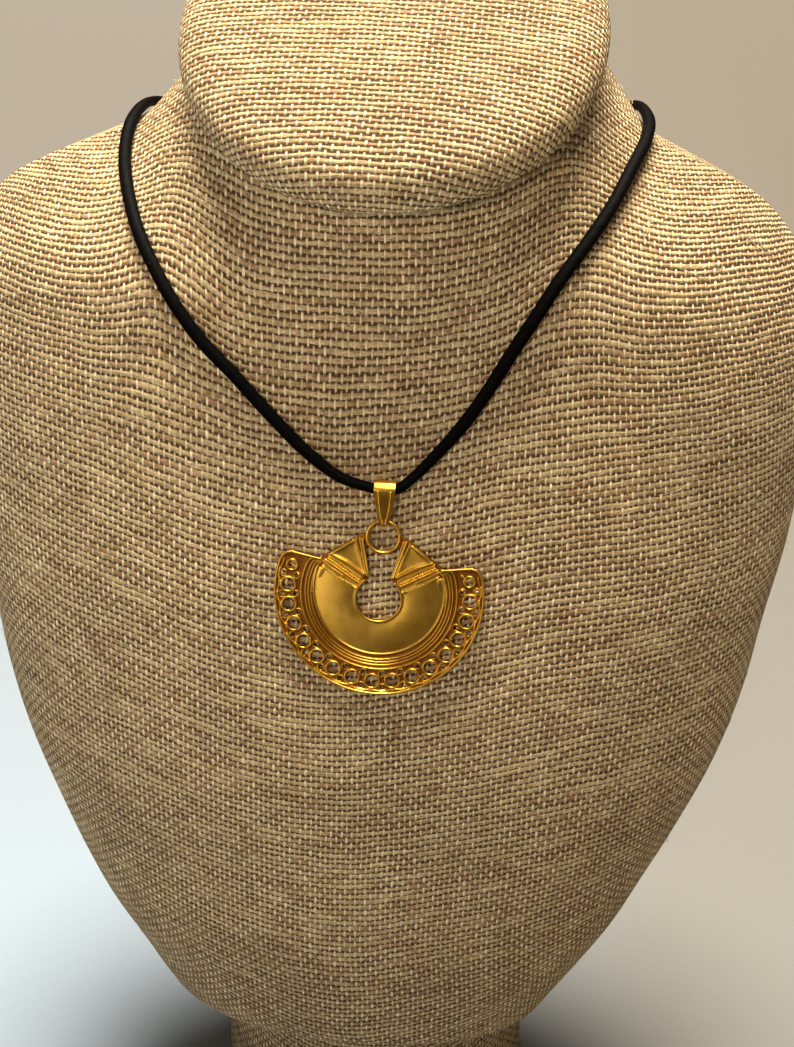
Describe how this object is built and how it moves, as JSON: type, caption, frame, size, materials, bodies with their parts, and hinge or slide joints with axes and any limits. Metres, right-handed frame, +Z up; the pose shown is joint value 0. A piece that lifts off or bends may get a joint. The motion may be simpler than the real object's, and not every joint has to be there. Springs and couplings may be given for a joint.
{
  "type": "crescent pendant necklace on a neck bust",
  "caption": "Openwork crescent pendant hanging by a ring from a tapered beaded bail on a slightly flattened cord, laid round a cloth covered neck bust with a sloping cap and an oval foot.",
  "frame": {"origin": "middle of the bounding box of the bust at the surface that the foot stands on", "axes": "+Z up, the chest with the pendant faces -Y, +X to the viewer's right"},
  "size_m": [0.224, 0.1442, 0.3351],
  "materials": {
    "gold": "satin gold plating, bright on the raised wires",
    "cord": "matt black cord, slightly flattened",
    "burlap": "coarse plain woven natural jute"
  },
  "bodies": {
    "stand": {"neck_cap": "burlap", "bust": "burlap", "pedestal": "burlap", "cord": "cord", "clasp": "gold"},
    "bail": {"bail": "gold"},
    "pendant": {"pendant": "gold"}
  },
  "joints": [
    {"name": "bail_swing", "type": "hinge", "parent": "stand", "child": "bail", "pos_m": [0.007, -0.0426, 0.213], "axis": [-1, 0, 0], "range_deg": [0, 70]},
    {"name": "pendant_swing", "type": "hinge", "parent": "bail", "child": "pendant", "pos_m": [0.007, -0.04397, 0.20541], "axis": [-1, 0, 0], "range_deg": [0, 75]}
  ]
}
